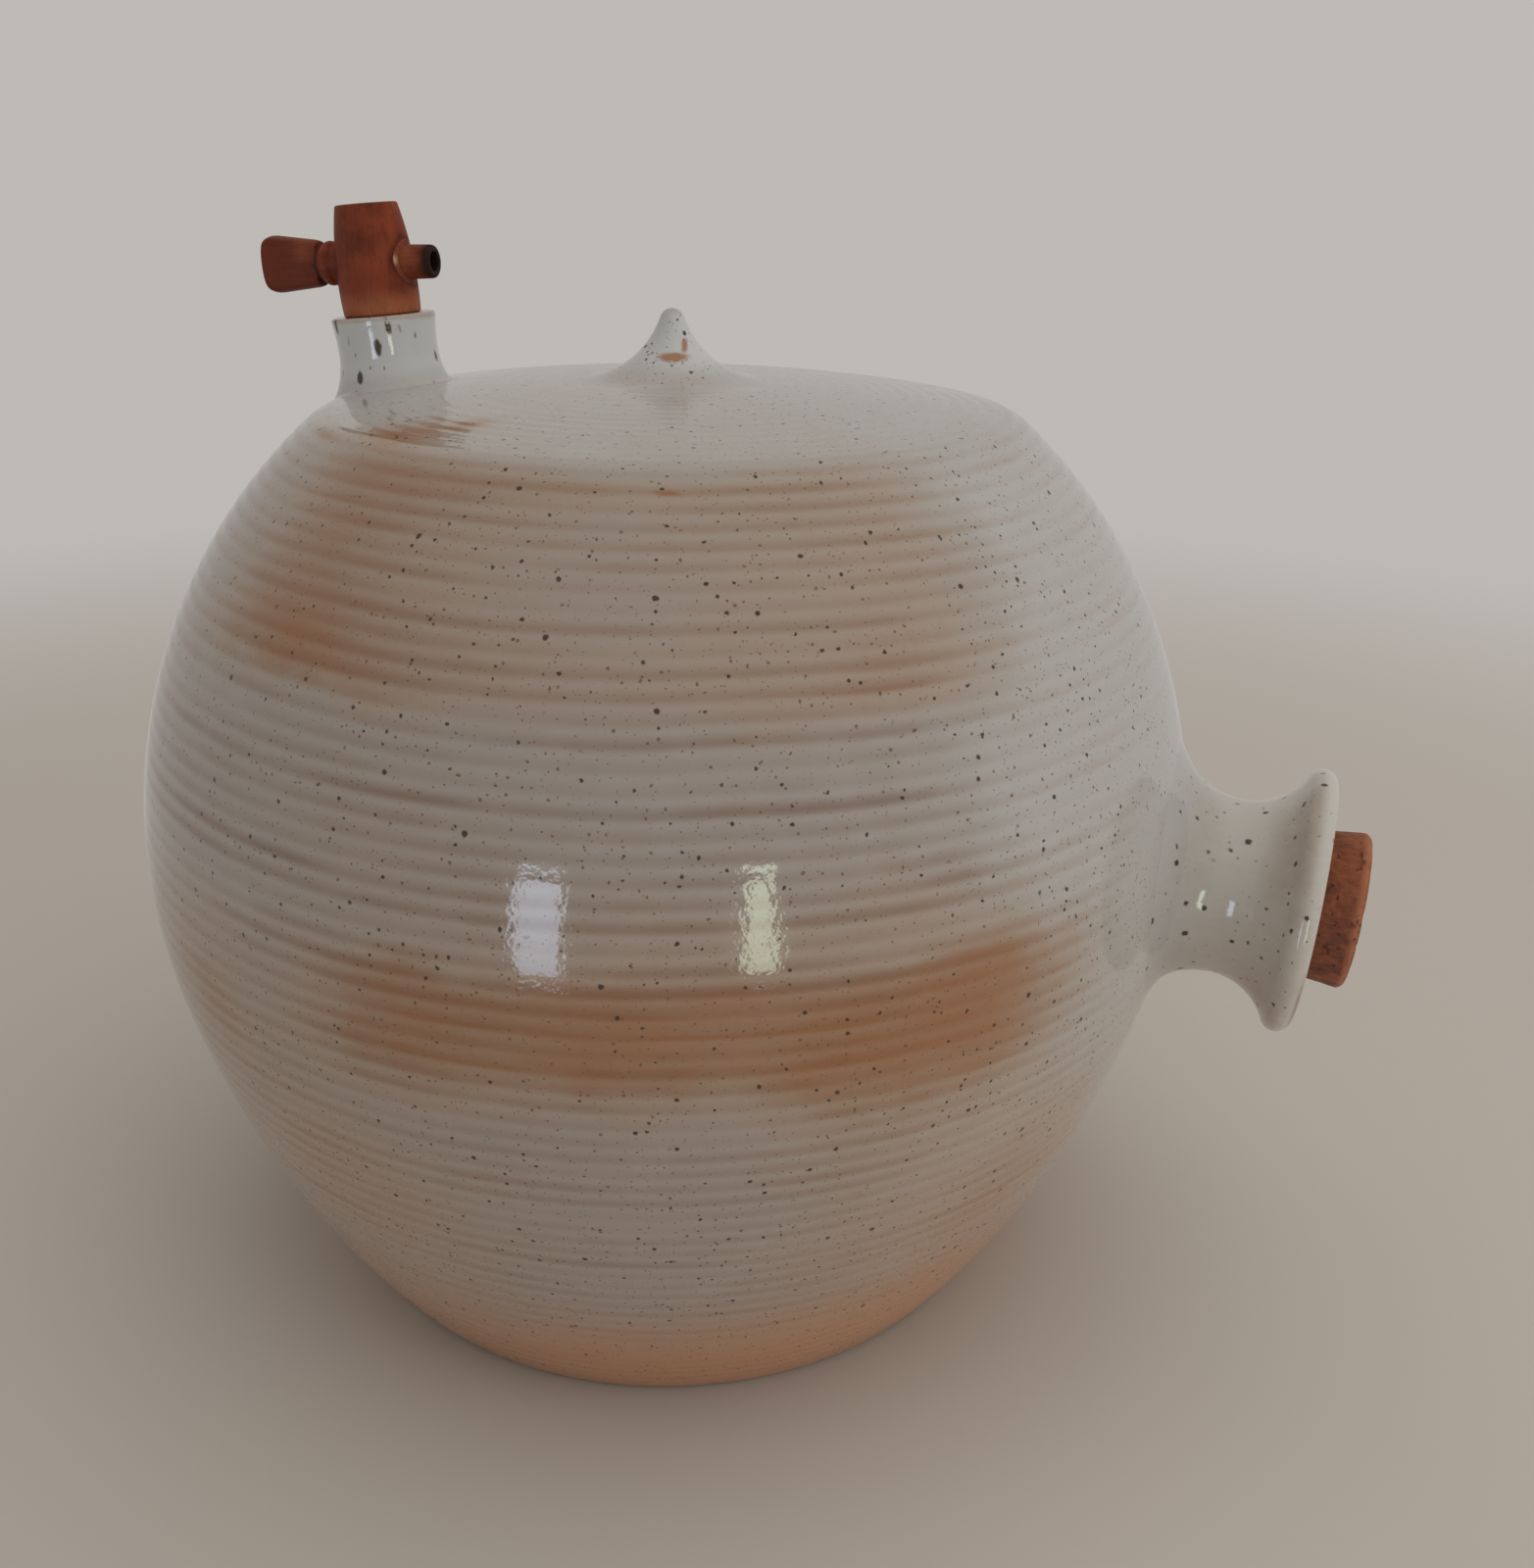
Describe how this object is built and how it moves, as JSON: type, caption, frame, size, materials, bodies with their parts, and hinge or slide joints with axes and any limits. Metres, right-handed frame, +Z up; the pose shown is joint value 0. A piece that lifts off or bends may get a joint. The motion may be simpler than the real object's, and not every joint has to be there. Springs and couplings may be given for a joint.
{
  "type": "vinegar crock",
  "caption": "Round glazed stoneware vinegar crock with a flared side neck closed by a tapered cork and a small wooden tap, with a turning key, in a collar on its crown.",
  "frame": {"origin": "centre of the flat foot that the crock stands on", "axes": "+Z up along the crock's axis, +X towards the filler neck"},
  "size_m": [0.3246, 0.28, 0.2838],
  "materials": {
    "stoneware": "glossy speckled ash-grey glaze with tan iron bands",
    "bung_cork": "raw cork, dark with age and vinegar",
    "seal_cork": "raw pale cork",
    "tap_wood": "turned reddish hardwood, oiled and worn",
    "key_wood": "turned reddish hardwood, darker, stained at the spout"
  },
  "bodies": {
    "crock": {"crock_bowl": "stoneware", "crock_belly": "stoneware", "crock_shoulder": "stoneware", "crock_crown": "stoneware", "filler_neck": "stoneware", "tap_collar": "stoneware"},
    "cork": {"filler_cork": "bung_cork"},
    "sleeve": {"tap_cork_sleeve": "seal_cork"},
    "tap": {"tap_body": "tap_wood", "key_cork_liner": "seal_cork"},
    "key": {"tap_key": "key_wood"}
  },
  "joints": [
    {"name": "cork_pull", "type": "slide", "parent": "crock", "child": "cork", "axis": [0.9981, 0, -0.061], "range_m": [0, 0.06]},
    {"name": "tap_pull", "type": "slide", "parent": "crock", "child": "sleeve", "axis": [-0.0955, -0.0084, 0.9954], "range_m": [0, 0.07]},
    {"name": "tap_turn", "type": "hinge", "parent": "sleeve", "child": "tap", "pos_m": [-0.0777, -0.0068, 0.23754], "axis": [-0.0955, -0.0084, 0.9954], "continuous": true},
    {"name": "key_turn", "type": "hinge", "parent": "tap", "child": "key", "pos_m": [-0.08068, -0.00706, 0.2686], "axis": [-0.9952, -0.0871, -0.0436], "continuous": true}
  ]
}
